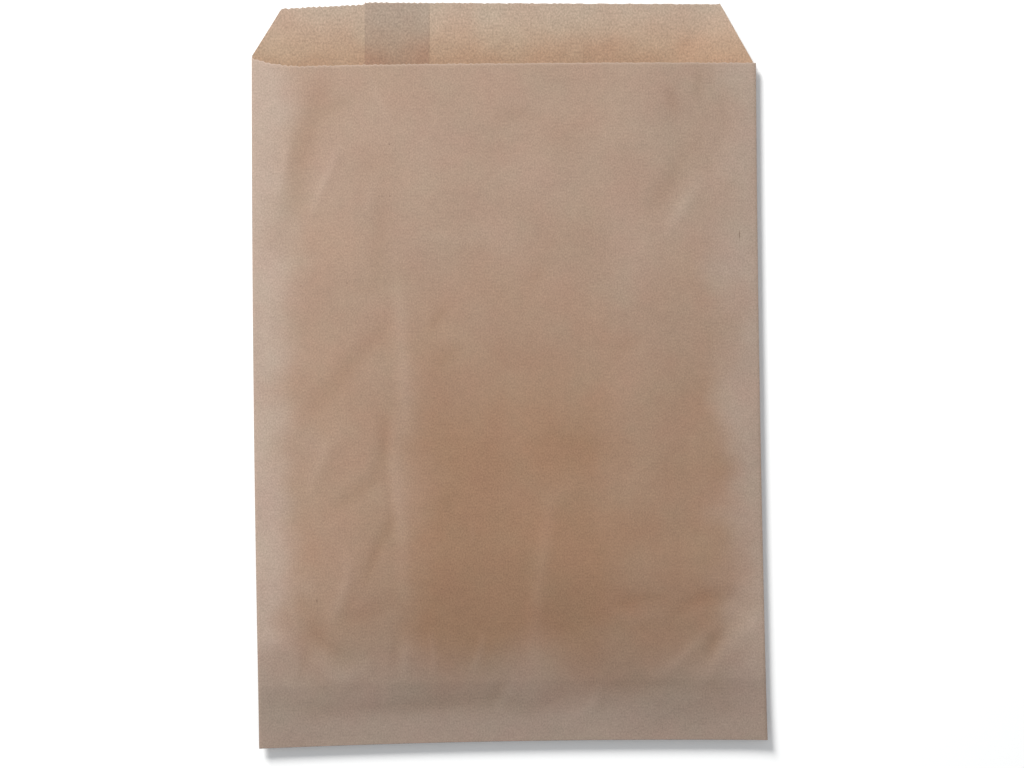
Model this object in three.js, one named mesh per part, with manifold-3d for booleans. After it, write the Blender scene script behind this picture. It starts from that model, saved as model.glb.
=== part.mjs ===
// A flat bakery bag of brown kraft paper, lying on its back.
// Millimetres. X runs across the bag, +Y points out of the mouth and +Z up out of the front,
// and the origin is at the middle of the bag's outline, on the surface that it lies on.

import * as THREE from "three";
import Module from "manifold-3d";
import { mergeVertices } from "three/addons/utils/BufferGeometryUtils.js";

const wasm = await Module();
wasm.setup();

// The sheet and its folds
const PAPER = 0.1;
const BAG_WIDTH = 235;
const FRONT_LENGTH = 316;
const LIP_LENGTH = 30;
const SEAM_OVERLAP = 30;
const SEAM_OFFSET = -50;
const FLAP_LENGTH = 28;
const PLY_CLEARANCE = 0.1;
const FOLD_WALL = 0.15;
const FOLD_ROUND = 0.12;
const FOLD_BOW = 1;
const BOTTOM_BOW = 1.5;

// The cut edges of the mouth
const TOOTH_PITCH = 2.6;
const TOOTH_DEPTH = 0.7;
const LEFT_CHAMFER_WIDTH = 14.5;
const RIGHT_CHAMFER_WIDTH = 16;
const CHAMFER_NOTCH = 1;
const LEFT_CUT_RISE = 4.5;
const LEFT_CUT_WIDTH = 24;
const SEAM_CUT_STEP = 0.9;
const LEFT_LIP_SLANT = 2.2;
const RIGHT_LIP_SLANT = 2.1;
const CUT_ROOM = 1.4;

// How the empty bag lies: the pocket stands a little open, and the edges curl off the table
const POCKET_RISE = 9;
const MOUTH_RISE = 8.2;
const POCKET_RUN_IN = 90;
const POCKET_FULLNESS = 4;
const BOTTOM_CURL_LENGTH = 53;
const BOTTOM_CURL_RISE = 4;
const RIGHT_CURL_WIDTH = 40;
const RIGHT_CURL_RISE = 3.6;
const LEFT_CURL_WIDTH = 32;
const LEFT_CURL_RISE = 1.8;
const LIP_CURL_RISE = 2;
const BOTTOM_CURL_BEND = 1.3;
const SIDE_CURL_BEND = 1.6;
const LIP_CURL_BEND = 1.5;
const CURL_BLEND = 4;

// Creases in the front: the long one lies over the seam, the other runs down the middle
const SEAM_CREASE_HEIGHT = 0.6;
const SEAM_CREASE_WIDTH = 5;
const SEAM_CREASE_START = 50;
const SEAM_CREASE_LENGTH = 180;
const SEAM_CREASE_WANDER = 2;
const SEAM_CREASE_WAVE = 137;
const SEAM_CREASE_PHASE = 0.2;
const MIDDLE_CREASE_HEIGHT = 0.5;
const MIDDLE_CREASE_WIDTH = 6;
const MIDDLE_CREASE_START = 20;
const MIDDLE_CREASE_LENGTH = 115;
const MIDDLE_CREASE_OFFSET = 9;
const MIDDLE_CREASE_DRIFT = 16;
const MIDDLE_CREASE_TURN_START = 43;
const MIDDLE_CREASE_TURN_LENGTH = 144;

const HALF_WIDTH = BAG_WIDTH / 2;
const BAG_LENGTH = FRONT_LENGTH + LIP_LENGTH;
const BOTTOM = -BAG_LENGTH / 2;
const TOP = BAG_LENGTH / 2;
const MOUTH = BOTTOM + FRONT_LENGTH;
const FLAP_EDGE = BOTTOM + FLAP_LENGTH;
const SEAM_OUTER_EDGE = SEAM_OFFSET - SEAM_OVERLAP / 2;
const SEAM_INNER_EDGE = SEAM_OFFSET + SEAM_OVERLAP / 2;
const CUTTER_MARGIN = 5;
const CUTTER_HEIGHT = 60;
const FOLD_LINES = [1.2, 4, 9, 16];
const COLUMN_SPACING = 10;
const ROW_SPACING = 10.5;
const SEAM_LEAN_GAIN = 1.5;
const MIDDLE_LEAN_GAIN = 1.3;

const clampShare = (value) => Math.min(Math.max(value, 0), 1);
const smooth = (share) => share * share * (3 - 2 * share);

// The way a crease wanders as it runs down the bag
function seamCreaseX(y) {
  const turn = (2 * Math.PI * y) / SEAM_CREASE_WAVE + SEAM_CREASE_PHASE;
  return SEAM_OFFSET + SEAM_CREASE_WANDER * Math.cos(turn);
}
function middleCreaseX(y) {
  const share = clampShare((y - BOTTOM - MIDDLE_CREASE_TURN_START) / MIDDLE_CREASE_TURN_LENGTH);
  return MIDDLE_CREASE_OFFSET + MIDDLE_CREASE_DRIFT * smooth(share);
}

// Height of the back above the table, where the edges curl up
function curl(x, y) {
  const bottom = clampShare((BOTTOM + BOTTOM_CURL_LENGTH - y) / BOTTOM_CURL_LENGTH);
  const right = clampShare((x - HALF_WIDTH + RIGHT_CURL_WIDTH) / RIGHT_CURL_WIDTH);
  const left = clampShare((-x - HALF_WIDTH + LEFT_CURL_WIDTH) / LEFT_CURL_WIDTH);
  const lip = clampShare((y - MOUTH) / LIP_LENGTH);
  const rises = [
    BOTTOM_CURL_RISE * bottom ** BOTTOM_CURL_BEND,
    RIGHT_CURL_RISE * right ** SIDE_CURL_BEND,
    LEFT_CURL_RISE * left ** SIDE_CURL_BEND,
    LIP_CURL_RISE * lip ** LIP_CURL_BEND,
  ];
  return rises.reduce((sum, rise) => sum + rise ** CURL_BLEND, 0) ** (1 / CURL_BLEND);
}

// A crease is a low roof along its line, which fades out at both ends
function crease(x, y, { line, width, height, start, length }) {
  const along = clampShare((y - BOTTOM - start) / length);
  const across = clampShare(1 - Math.abs(x - line(y)) / width);
  return height * Math.sin(Math.PI * along) * across;
}

const SEAM_CREASE = {
  line: seamCreaseX,
  width: SEAM_CREASE_WIDTH,
  height: SEAM_CREASE_HEIGHT,
  start: SEAM_CREASE_START,
  length: SEAM_CREASE_LENGTH,
};
const MIDDLE_CREASE = {
  line: middleCreaseX,
  width: MIDDLE_CREASE_WIDTH,
  height: MIDDLE_CREASE_HEIGHT,
  start: MIDDLE_CREASE_START,
  length: MIDDLE_CREASE_LENGTH,
};

// Height of the space between front and back
function pocketGap(x, y) {
  const across = 1 - Math.abs(x / HALF_WIDTH) ** POCKET_FULLNESS;
  const runIn = smooth(clampShare((y - BOTTOM) / POCKET_RUN_IN));
  const towardMouth = smooth(clampShare((y - BOTTOM - POCKET_RUN_IN) / (FRONT_LENGTH - POCKET_RUN_IN)));
  const rise = POCKET_RISE + (MOUTH_RISE - POCKET_RISE) * towardMouth;
  const folds = crease(x, y, SEAM_CREASE) + crease(x, y, MIDDLE_CREASE);
  return PLY_CLEARANCE + Math.max(across, 0) * runIn * (rise + folds);
}

// The four faces of the folded sheet, from the table up. A place is { x, y, pastX, pastY }, and the
// two past marks say on which side of a cut edge it lies, so that the edge is a clean step.
const beyondOuterEdge = (p) => p.x > SEAM_OUTER_EDGE || (p.x === SEAM_OUTER_EDGE && p.pastX);
const beyondInnerEdge = (p) => p.x > SEAM_INNER_EDGE || (p.x === SEAM_INNER_EDGE && p.pastX);
const onFlap = (p) => p.y < FLAP_EDGE || (p.y === FLAP_EDGE && !p.pastY);

function backOutside(p) {
  return curl(p.x, p.y) + (beyondOuterEdge(p) ? 0 : PAPER) - (onFlap(p) ? PAPER : 0);
}
function backInside(p) {
  return curl(p.x, p.y) + (beyondInnerEdge(p) ? PAPER : 2 * PAPER);
}
function frontInside(p) {
  return curl(p.x, p.y) + 2 * PAPER + pocketGap(p.x, p.y);
}
function frontOutside(p) {
  return frontInside(p) + PAPER;
}

// Grid lines shared by every slab, so that the sheet keeps one thickness
function between(from, to, spacing) {
  const steps = Math.max(Math.round((to - from) / spacing), 1);
  return Array.from({ length: steps - 1 }, (_, i) => from + ((to - from) * (i + 1)) / steps);
}

function columnHomes() {
  const leftInner = -HALF_WIDTH + FOLD_LINES.at(-1);
  const rightInner = HALF_WIDTH - FOLD_LINES.at(-1);
  const seamCrease = [-SEAM_CREASE_WIDTH, 0, SEAM_CREASE_WIDTH].map((d) => SEAM_OFFSET + d);
  const middleCrease = [-MIDDLE_CREASE_WIDTH, 0, MIDDLE_CREASE_WIDTH].map((d) => MIDDLE_CREASE_OFFSET + d);
  return [
    -HALF_WIDTH,
    ...FOLD_LINES.map((d) => -HALF_WIDTH + d),
    ...between(leftInner, SEAM_OUTER_EDGE, COLUMN_SPACING),
    SEAM_OUTER_EDGE,
    SEAM_OUTER_EDGE,
    ...seamCrease,
    SEAM_INNER_EDGE,
    SEAM_INNER_EDGE,
    ...between(SEAM_INNER_EDGE, middleCrease[0], COLUMN_SPACING),
    ...middleCrease,
    ...between(middleCrease.at(-1), rightInner, COLUMN_SPACING),
    ...FOLD_LINES.map((d) => HALF_WIDTH - d).reverse(),
    HALF_WIDTH,
  ];
}

function rowHomes() {
  const lowInner = BOTTOM + FOLD_LINES.at(-1);
  const bend = BOTTOM + BOTTOM_CURL_LENGTH;
  const belowTeeth = MOUTH - CUT_ROOM;
  const lipTeeth = TOP - SEAM_CUT_STEP - LEFT_LIP_SLANT - CUT_ROOM;
  return [
    BOTTOM,
    ...FOLD_LINES.map((d) => BOTTOM + d),
    FLAP_EDGE,
    FLAP_EDGE,
    ...between(FLAP_EDGE, bend, ROW_SPACING),
    bend,
    ...between(bend, belowTeeth, ROW_SPACING),
    belowTeeth,
    ...between(belowTeeth, lipTeeth, ROW_SPACING),
    lipTeeth,
    TOP,
  ];
}

// Columns lean over to follow the creases, and stand still at the seam's edges and the side folds
function leanedX(home, y) {
  const seamReach = clampShare(1 - Math.abs(home - SEAM_OFFSET) / (SEAM_OVERLAP / 2));
  const middleSpan = home < MIDDLE_CREASE_OFFSET ? MIDDLE_CREASE_OFFSET - SEAM_INNER_EDGE : HALF_WIDTH / 2;
  const middleReach = clampShare(1 - Math.abs(home - MIDDLE_CREASE_OFFSET) / middleSpan);
  return (
    home +
    Math.min(seamReach * SEAM_LEAN_GAIN, 1) * (seamCreaseX(y) - SEAM_OFFSET) +
    Math.min(middleReach * MIDDLE_LEAN_GAIN, 1) * (middleCreaseX(y) - MIDDLE_CREASE_OFFSET)
  );
}

// A solid between two height functions, as a box whose grid is moved into place
function slab({ columns, rows, low, high, round = 0 }) {
  const box = new THREE.BoxGeometry(1, 1, 1, columns.length - 1, rows.length - 1, 2);
  const corner = box.attributes.position;
  for (let i = 0; i < corner.count; i += 1) {
    const column = Math.round((corner.getX(i) + 0.5) * (columns.length - 1));
    const row = Math.round((corner.getY(i) + 0.5) * (rows.length - 1));
    const level = corner.getZ(i) + 0.5;
    const y = rows[row];
    const place = {
      x: leanedX(columns[column], y),
      y,
      pastX: column > 0 && columns[column] === columns[column - 1],
      pastY: row > 0 && rows[row] === rows[row - 1],
    };
    const z = THREE.MathUtils.lerp(low(place), high(place), level);
    const inset = round * Math.abs(2 * level - 1);
    const insetX = column === 0 ? inset : column === columns.length - 1 ? -inset : 0;
    const insetY = row === 0 ? inset : 0;
    corner.setXYZ(i, place.x + insetX, place.y + insetY, z);
  }
  return toSolid(box);
}

function toSolid(geometry) {
  geometry.deleteAttribute("normal");
  geometry.deleteAttribute("uv");
  const merged = mergeVertices(geometry, 1e-5);
  const triangles = [];
  for (let i = 0; i < merged.index.count; i += 3) {
    const [a, b, c] = [0, 1, 2].map((k) => merged.index.getX(i + k));
    if (a !== b && b !== c && c !== a) {
      triangles.push(a, b, c);
    }
  }
  const vertProperties = new Float32Array(merged.attributes.position.array);
  const triVerts = new Uint32Array(triangles);
  return new wasm.Manifold(new wasm.Mesh({ numProp: 3, vertProperties, triVerts }));
}

// Heights of the two cuts across the bag, without their teeth
function mouthCut(x) {
  const share = clampShare((LEFT_CUT_WIDTH - HALF_WIDTH - x) / LEFT_CUT_WIDTH);
  return MOUTH + LEFT_CUT_RISE * share * share;
}

// The lip's cut is highest over the seam, slants down to both sides and steps down left of the seam
function lipCut(x) {
  const past = x - SEAM_OUTER_EDGE;
  if (past < 0) {
    return TOP - SEAM_CUT_STEP + (LEFT_LIP_SLANT * past) / (HALF_WIDTH + SEAM_OUTER_EDGE);
  }
  return TOP - (RIGHT_LIP_SLANT * past) / (HALF_WIDTH - SEAM_OUTER_EDGE);
}

// A line of teeth below a cut, from one x to another
function toothedLine(cut, from, to) {
  const halves = 2 * Math.round((to - from) / TOOTH_PITCH);
  return Array.from({ length: halves + 1 }, (_, i) => {
    const x = from + ((to - from) * i) / halves;
    return new THREE.Vector2(x, cut(x) - (i % 2) * TOOTH_DEPTH);
  });
}

// Everything above an outline, as a prism that stands on the table
function above(outline) {
  const right = HALF_WIDTH + CUTTER_MARGIN;
  const roof = TOP + CUTTER_MARGIN;
  const shape = new THREE.Shape([
    new THREE.Vector2(-right, outline[0].y),
    ...outline,
    new THREE.Vector2(right, outline.at(-1).y),
    new THREE.Vector2(right, roof),
    new THREE.Vector2(-right, roof),
  ]);
  const prism = new THREE.ExtrudeGeometry(shape, { depth: CUTTER_HEIGHT, bevelEnabled: false, steps: 1 });
  prism.translate(0, 0, -CUTTER_MARGIN);
  return toSolid(prism);
}

function lipOutline() {
  const left = -HALF_WIDTH + LEFT_CHAMFER_WIDTH;
  const right = HALF_WIDTH - RIGHT_CHAMFER_WIDTH;
  return [
    new THREE.Vector2(-HALF_WIDTH, mouthCut(-HALF_WIDTH)),
    ...toothedLine(lipCut, left, right),
    new THREE.Vector2(HALF_WIDTH - CHAMFER_NOTCH, mouthCut(HALF_WIDTH)),
    new THREE.Vector2(HALF_WIDTH, mouthCut(HALF_WIDTH)),
  ];
}

function foldedSheet() {
  const columns = columnHomes();
  const rows = rowHomes();
  const outside = slab({ columns, rows, low: backOutside, high: frontOutside, round: FOLD_ROUND });

  const pocketColumns = [-HALF_WIDTH + FOLD_WALL, ...columns.slice(1, -1), HALF_WIDTH - FOLD_WALL];
  const pocketRows = [BOTTOM + FOLD_WALL, ...rows.slice(1, -1), TOP + CUTTER_MARGIN];
  const pocket = slab({ columns: pocketColumns, rows: pocketRows, low: backInside, high: frontInside });

  const wideColumns = [-HALF_WIDTH - CUTTER_MARGIN, ...columns.slice(1, -1), HALF_WIDTH + CUTTER_MARGIN];
  const overBack = slab({
    columns: wideColumns,
    rows: pocketRows,
    low: (p) => backInside(p) + PLY_CLEARANCE / 2,
    high: () => CUTTER_HEIGHT,
  });
  const frontTop = above(toothedLine(mouthCut, -HALF_WIDTH, HALF_WIDTH)).intersect(overBack);

  return outside.subtract(pocket).subtract(frontTop).subtract(above(lipOutline()));
}

// Both side folds bow a little to the left and the bottom fold bows in at its middle, and the
// outline stays centred on the origin
const bowedX = (x, y) => x - FOLD_BOW * (1 - (y / TOP) ** 2) + FOLD_BOW / 2;
const bowedY = (x, y) => y + BOTTOM_BOW * (1 - (x / HALF_WIDTH) ** 2) * clampShare(y / BOTTOM) ** 2;

function toGeometry(solid) {
  const mesh = solid.getMesh();
  const corner = new THREE.BufferAttribute(new Float32Array(mesh.vertProperties), 3);
  for (let i = 0; i < corner.count; i += 1) {
    const [x, y] = [corner.getX(i), corner.getY(i)];
    corner.setXY(i, bowedX(x, y), bowedY(x, y));
  }
  const geometry = new THREE.BufferGeometry();
  geometry.setAttribute("position", corner);
  geometry.setIndex(new THREE.BufferAttribute(new Uint32Array(mesh.triVerts), 1));
  geometry.computeVertexNormals();
  return geometry;
}

const kraft = new THREE.MeshStandardMaterial({ color: 0xa3856b, roughness: 0.9, metalness: 0 });

const bag = new THREE.Mesh(toGeometry(foldedSheet()), kraft);
bag.name = "paper_bag";

const object = new THREE.Group();
object.add(bag);

export default object;
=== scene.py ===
"""A flat bakery bag of brown kraft paper that lies on its back, front up, on a white table."""

import math

import bmesh
import bpy
import numpy as np
from bpy.props import FloatProperty, FloatVectorProperty, IntProperty, PointerProperty
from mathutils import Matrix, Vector, noise


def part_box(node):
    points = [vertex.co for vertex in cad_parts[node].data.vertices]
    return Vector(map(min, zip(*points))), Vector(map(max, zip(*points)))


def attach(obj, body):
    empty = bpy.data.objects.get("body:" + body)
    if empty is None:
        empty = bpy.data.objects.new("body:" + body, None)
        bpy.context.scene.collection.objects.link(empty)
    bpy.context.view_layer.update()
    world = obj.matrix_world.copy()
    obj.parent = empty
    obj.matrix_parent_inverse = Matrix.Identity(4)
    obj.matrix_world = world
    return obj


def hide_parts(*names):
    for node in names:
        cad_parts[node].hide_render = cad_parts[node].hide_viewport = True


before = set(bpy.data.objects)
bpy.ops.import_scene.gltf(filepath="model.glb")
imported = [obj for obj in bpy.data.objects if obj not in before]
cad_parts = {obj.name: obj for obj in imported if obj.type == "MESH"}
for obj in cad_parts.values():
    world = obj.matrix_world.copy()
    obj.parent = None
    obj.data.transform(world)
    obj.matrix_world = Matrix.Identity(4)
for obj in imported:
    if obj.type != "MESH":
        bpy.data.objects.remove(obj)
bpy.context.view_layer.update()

bl_info = {
    "name": "Bakery paper bag",
    "version": (1, 0, 0),
    "blender": (4, 5, 0),
    "location": "3D View > Sidebar > Paper bag",
    "description": "Folds a flat kraft bag with a toothed mouth, a glued back seam and a bottom flap",
    "category": "Object",
}

MM = 0.001
BAG_NODE = "paper_bag"
BODY = "root"

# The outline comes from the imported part, so that the sheet fills the same box
BAG_LOW, BAG_HIGH = (Vector(corner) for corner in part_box(BAG_NODE))
TOP = BAG_HIGH.y
BOTTOM = BAG_LOW.y

# Each ply's middle above the level that the back lies on, in thicknesses of the paper
FRONT_LEVEL = 2.5
INNER_LEVEL = 1.5
OUTER_LEVEL = 0.5
FLAP_LEVEL = -0.5

# How steeply each curl grows toward its edge, how tightly the curls join, and how full the pocket is
BOTTOM_CURL_BEND = 1.3
SIDE_CURL_BEND = 1.6
LIP_CURL_BEND = 1.5
CURL_BLEND = 4
POCKET_FULLNESS = 4

# A crease is a soft roll: how fast it falls off across its line, and how it fades toward both ends
ROLL_FALL = 1.4
FADE_START = 0.12
FADE_SPAN = 0.76
FADE_POWER = 0.8

# Waves over the front, each with its wavelength in millimetres, its seed and its height. They crumple the
# paper, and make the edges of the area in which it touches the ply behind it, with its painted shade,
# stray, in millimetres.
CRUMPLE_WAVES = ((45, 3.0, 2.8), (19, 8.0, 1.2))
STRAY_X_WAVES = ((34, 21.0, 9), (13, 5.0, 5))
STRAY_Y_WAVES = ((40, 33.0, 12),)
# The patch waves add blotches to the front's painted shade and sheen
PATCH_WAVES = ((24, 47.0, 0.09),)

# Soft steps in how closely the front touches the ply behind it; they also paint shade where it touches
# and a sheen where it stands free. Where each starts and how wide it is, in millimetres from the bag's
# middle. The lower half and the two at the bottom are counted downward, the one left of the seam to the
# left, and the others to the right.
LOWER_HALF = (-95, 170)
BOTTOM_BEND = (116, 50)
BOTTOM_END = (158, 12)
LEFT_MARGIN = (-113.5, 24)
LEFT_OF_SEAM = (28, 32)
RIGHT_HALF = (30, 30)
RIGHT_MARGIN = (90, 23)
TOUCH_AT_MOUTH = 0.42
LOWER_HALF_GAIN = 0.6
LEFT_OF_SEAM_LOSS = 0.35
RIGHT_HALF_LOSS = 0.18
RIGHT_MARGIN_LOSS = 0.72
BOTTOM_END_LOSS = 0.15

# The mesh: how far inside the folds the panels end, the width beside a fold that stays flat, the lip's
# rows, the lift of the seam's free edge on the lip and its width, how far the bottom fold stands out as a
# share of half its height, the steps round a fold, and a length too small to matter
FOLD_INSET = 0.2 * MM
FLAT_AT_FOLD = 5 * MM
LIP_ROW_SPACING = 2.4 * MM
FREE_EDGE_LIFT = 0.03 * MM
FREE_EDGE_WIDTH = 4 * MM
BOTTOM_FOLD_DEPTH = 0.6
FOLD_STEPS = 3
HAIR = 1e-6
# Cut edges and pressed folds bend more than this from face to face, and the creases less
SHARP_ANGLE = math.radians(40)
# The share of looseness and painted sheen, and the painted crease shade, of the paper away from the front
PLAIN_LOOK = (0.75, 0.0)
# How far the flap's place in the paper's pattern lies past the front's
FLAP_PATTERN_SHIFT = 60 * MM


def length(name, description, millimetres):
    return FloatProperty(name=name, description=description, default=millimetres * MM, unit="LENGTH")


def colour(name, description, default):
    return FloatVectorProperty(name=name, description=description, default=default, subtype="COLOR", size=3)


def share(name, description, default, most=1.0):
    return FloatProperty(name=name, description=description, default=default, min=0, max=most)


class BagSizes(bpy.types.PropertyGroup):
    """The sheet as it was folded and cut"""

    lip_length: length("Lip length", "How far the back stands above the front", 30)
    flap_length: length("Flap length", "Length of the glued bottom flap", 28)
    seam_overlap: length("Seam overlap", "Width of the glued lengthwise seam", 30)
    seam_offset: length("Seam offset", "Middle of the seam from the bag's middle", -50)
    paper: length("Paper", "Thickness of the paper", 0.1)
    clearance: length("Clearance", "Space between the plies at the folds", 0.1)
    fold_bow: length("Fold bow", "How far both side folds bow to the left", 1)
    bottom_bow: length("Bottom bow", "How far the bottom fold bows in at its middle", 1.5)
    tooth_pitch: length("Tooth pitch", "Distance from tooth to tooth on the cuts", 2.6)
    tooth_depth: length("Tooth depth", "Depth of the teeth on the cuts", 0.75)
    ragged: length("Ragged", "How far a tooth's point strays from its place", 0.17)
    left_chamfer: length("Left chamfer", "Width of the lip's cut corner on the left", 14.5)
    right_chamfer: length("Right chamfer", "Width of the lip's cut corner on the right", 16)
    chamfer_notch: length("Chamfer notch", "Step from the right chamfer to the side fold", 1)
    left_cut_rise: length("Left cut rise", "How far the front's cut rises to the left fold", 4.5)
    left_cut_width: length("Left cut width", "Width over which the front's cut rises", 24)
    seam_step: length("Seam step", "Step of the lip's cut at the seam's outer edge", 0.9)
    left_slant: length("Left slant", "How far the lip's cut slants down to the left", 2.2)
    right_slant: length("Right slant", "How far the lip's cut slants down to the right", 2.1)
    row_spacing: length("Row spacing", "Distance between the mesh rows", 2.9)


class BagPose(bpy.types.PropertyGroup):
    """How the empty bag lies"""

    pocket_rise: length("Pocket rise", "Height of the open pocket", 9)
    mouth_rise: length("Mouth rise", "Height of the pocket at the mouth", 8.2)
    run_in: length("Run in", "Length over which the pocket opens from the bottom", 90)
    bottom_rise: length("Bottom rise", "How far the bottom edge curls up", 4)
    bottom_curl: length("Bottom curl", "Length of the bottom's curl", 53)
    right_rise: length("Right rise", "How far the right fold curls up", 3.6)
    right_curl: length("Right curl", "Width of the right fold's curl", 40)
    left_rise: length("Left rise", "How far the left fold curls up", 1.8)
    left_curl: length("Left curl", "Width of the left fold's curl", 32)
    lip_rise: length("Lip rise", "How far the lip curls up", 2)
    crease_strength: share("Crease strength", "Scales the height of every crease", 1, most=3)
    # Scales the painted highlight and shade along the creases
    crease_shade_strength: share("Mark strength", "Scales how much the creases change the paper's tone", 1, most=3)
    crumple: length("Crumple", "Height of the fine waviness of the paper", 0.1)
    seed: IntProperty(name="Seed", description="Picks the ragged edge", default=7, min=0)


class KraftLook(bpy.types.PropertyGroup):
    """The paper's colours, as they show in plain light, with painted shade and sheen in the outside's two
    colours and the bend's tone
    """

    # Pressed is the paper's colour with painted shade; standing is paler and greyer with a painted sheen
    pressed_painted_shade: colour("Pressed", "The outside where the front touches the ply behind it", (0.33, 0.195, 0.12))
    standing_painted_sheen: colour("Standing", "The outside where the front stands free", (0.425, 0.322, 0.262))
    inside_low: colour("Inside, low", "The rough inside near the front's cut", (0.430, 0.284, 0.191))
    inside_high: colour("Inside, high", "The rough inside near the lip's cut", (0.489, 0.374, 0.291))
    seam_low: colour("Seam, low", "What the doubled seam makes of the inside, low down", (0.85, 0.805, 0.82))
    seam_high: colour("Seam, high", "What the doubled seam makes of it, high up", (0.83, 0.84, 0.86))
    torn: colour("Torn", "Open fibres along the cut edges", (0.7, 0.55, 0.45))
    fleck: colour("Fleck", "Dark bark flecks", (0.14, 0.085, 0.055))
    flap_tone: share("Flap tone", "Tone of the front over the flap", 0.94)
    # Painted shade where the bottom bends up
    painted_bend_shade: share("Bend tone", "Tone of the front where it bends up at the bottom", 0.76)
    roughness: share("Roughness", "Roughness of the paper", 0.62)
    mottle: share("Mottle", "Contrast of the cloudy fibre pattern", 0.16)


class StageLook(bpy.types.PropertyGroup):
    """The white table and the studio light"""

    key_power: FloatProperty(
        name="Key power", description="Power of the large lamp past the mouth", default=92.5, unit="POWER"
    )
    key_distance: length("Key distance", "Distance of the large lamp", 2640)
    key_size: length("Key size", "Width of the large lamp", 1000)
    fill_strength: share("Fill", "Strength of the even light from all round", 0.39, most=10)
    table: colour("Table", "The white table", (0.98, 0.99, 1.0))
    table_glow: share("Table glow", "What the camera sees on top of the table's own white", 0.1)
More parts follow.
